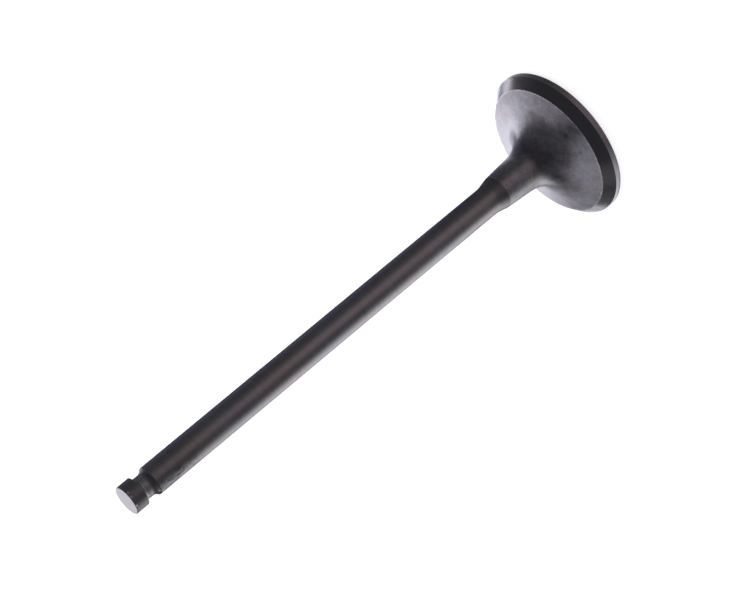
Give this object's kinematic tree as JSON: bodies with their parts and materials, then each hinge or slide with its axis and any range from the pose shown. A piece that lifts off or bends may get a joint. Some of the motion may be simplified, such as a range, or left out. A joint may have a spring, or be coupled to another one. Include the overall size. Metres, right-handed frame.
{
  "type": "engine valve",
  "caption": "Poppet valve: slim dark ground stem with a round-bottomed keeper groove near its tip, flaring through a smooth neck into a round head with a ground conical seat.",
  "frame": {"origin": "centre of the flat head face that meets the combustion chamber, which the valve stands on", "axes": "+Z along the stem from the head face towards the tip"},
  "size_m": [0.0296, 0.0296, 0.1055],
  "materials": {
    "valve_steel": "dark nitrided and ground steel, semi-gloss"
  },
  "bodies": {
    "root": {"valve": "valve_steel"}
  },
  "joints": []
}
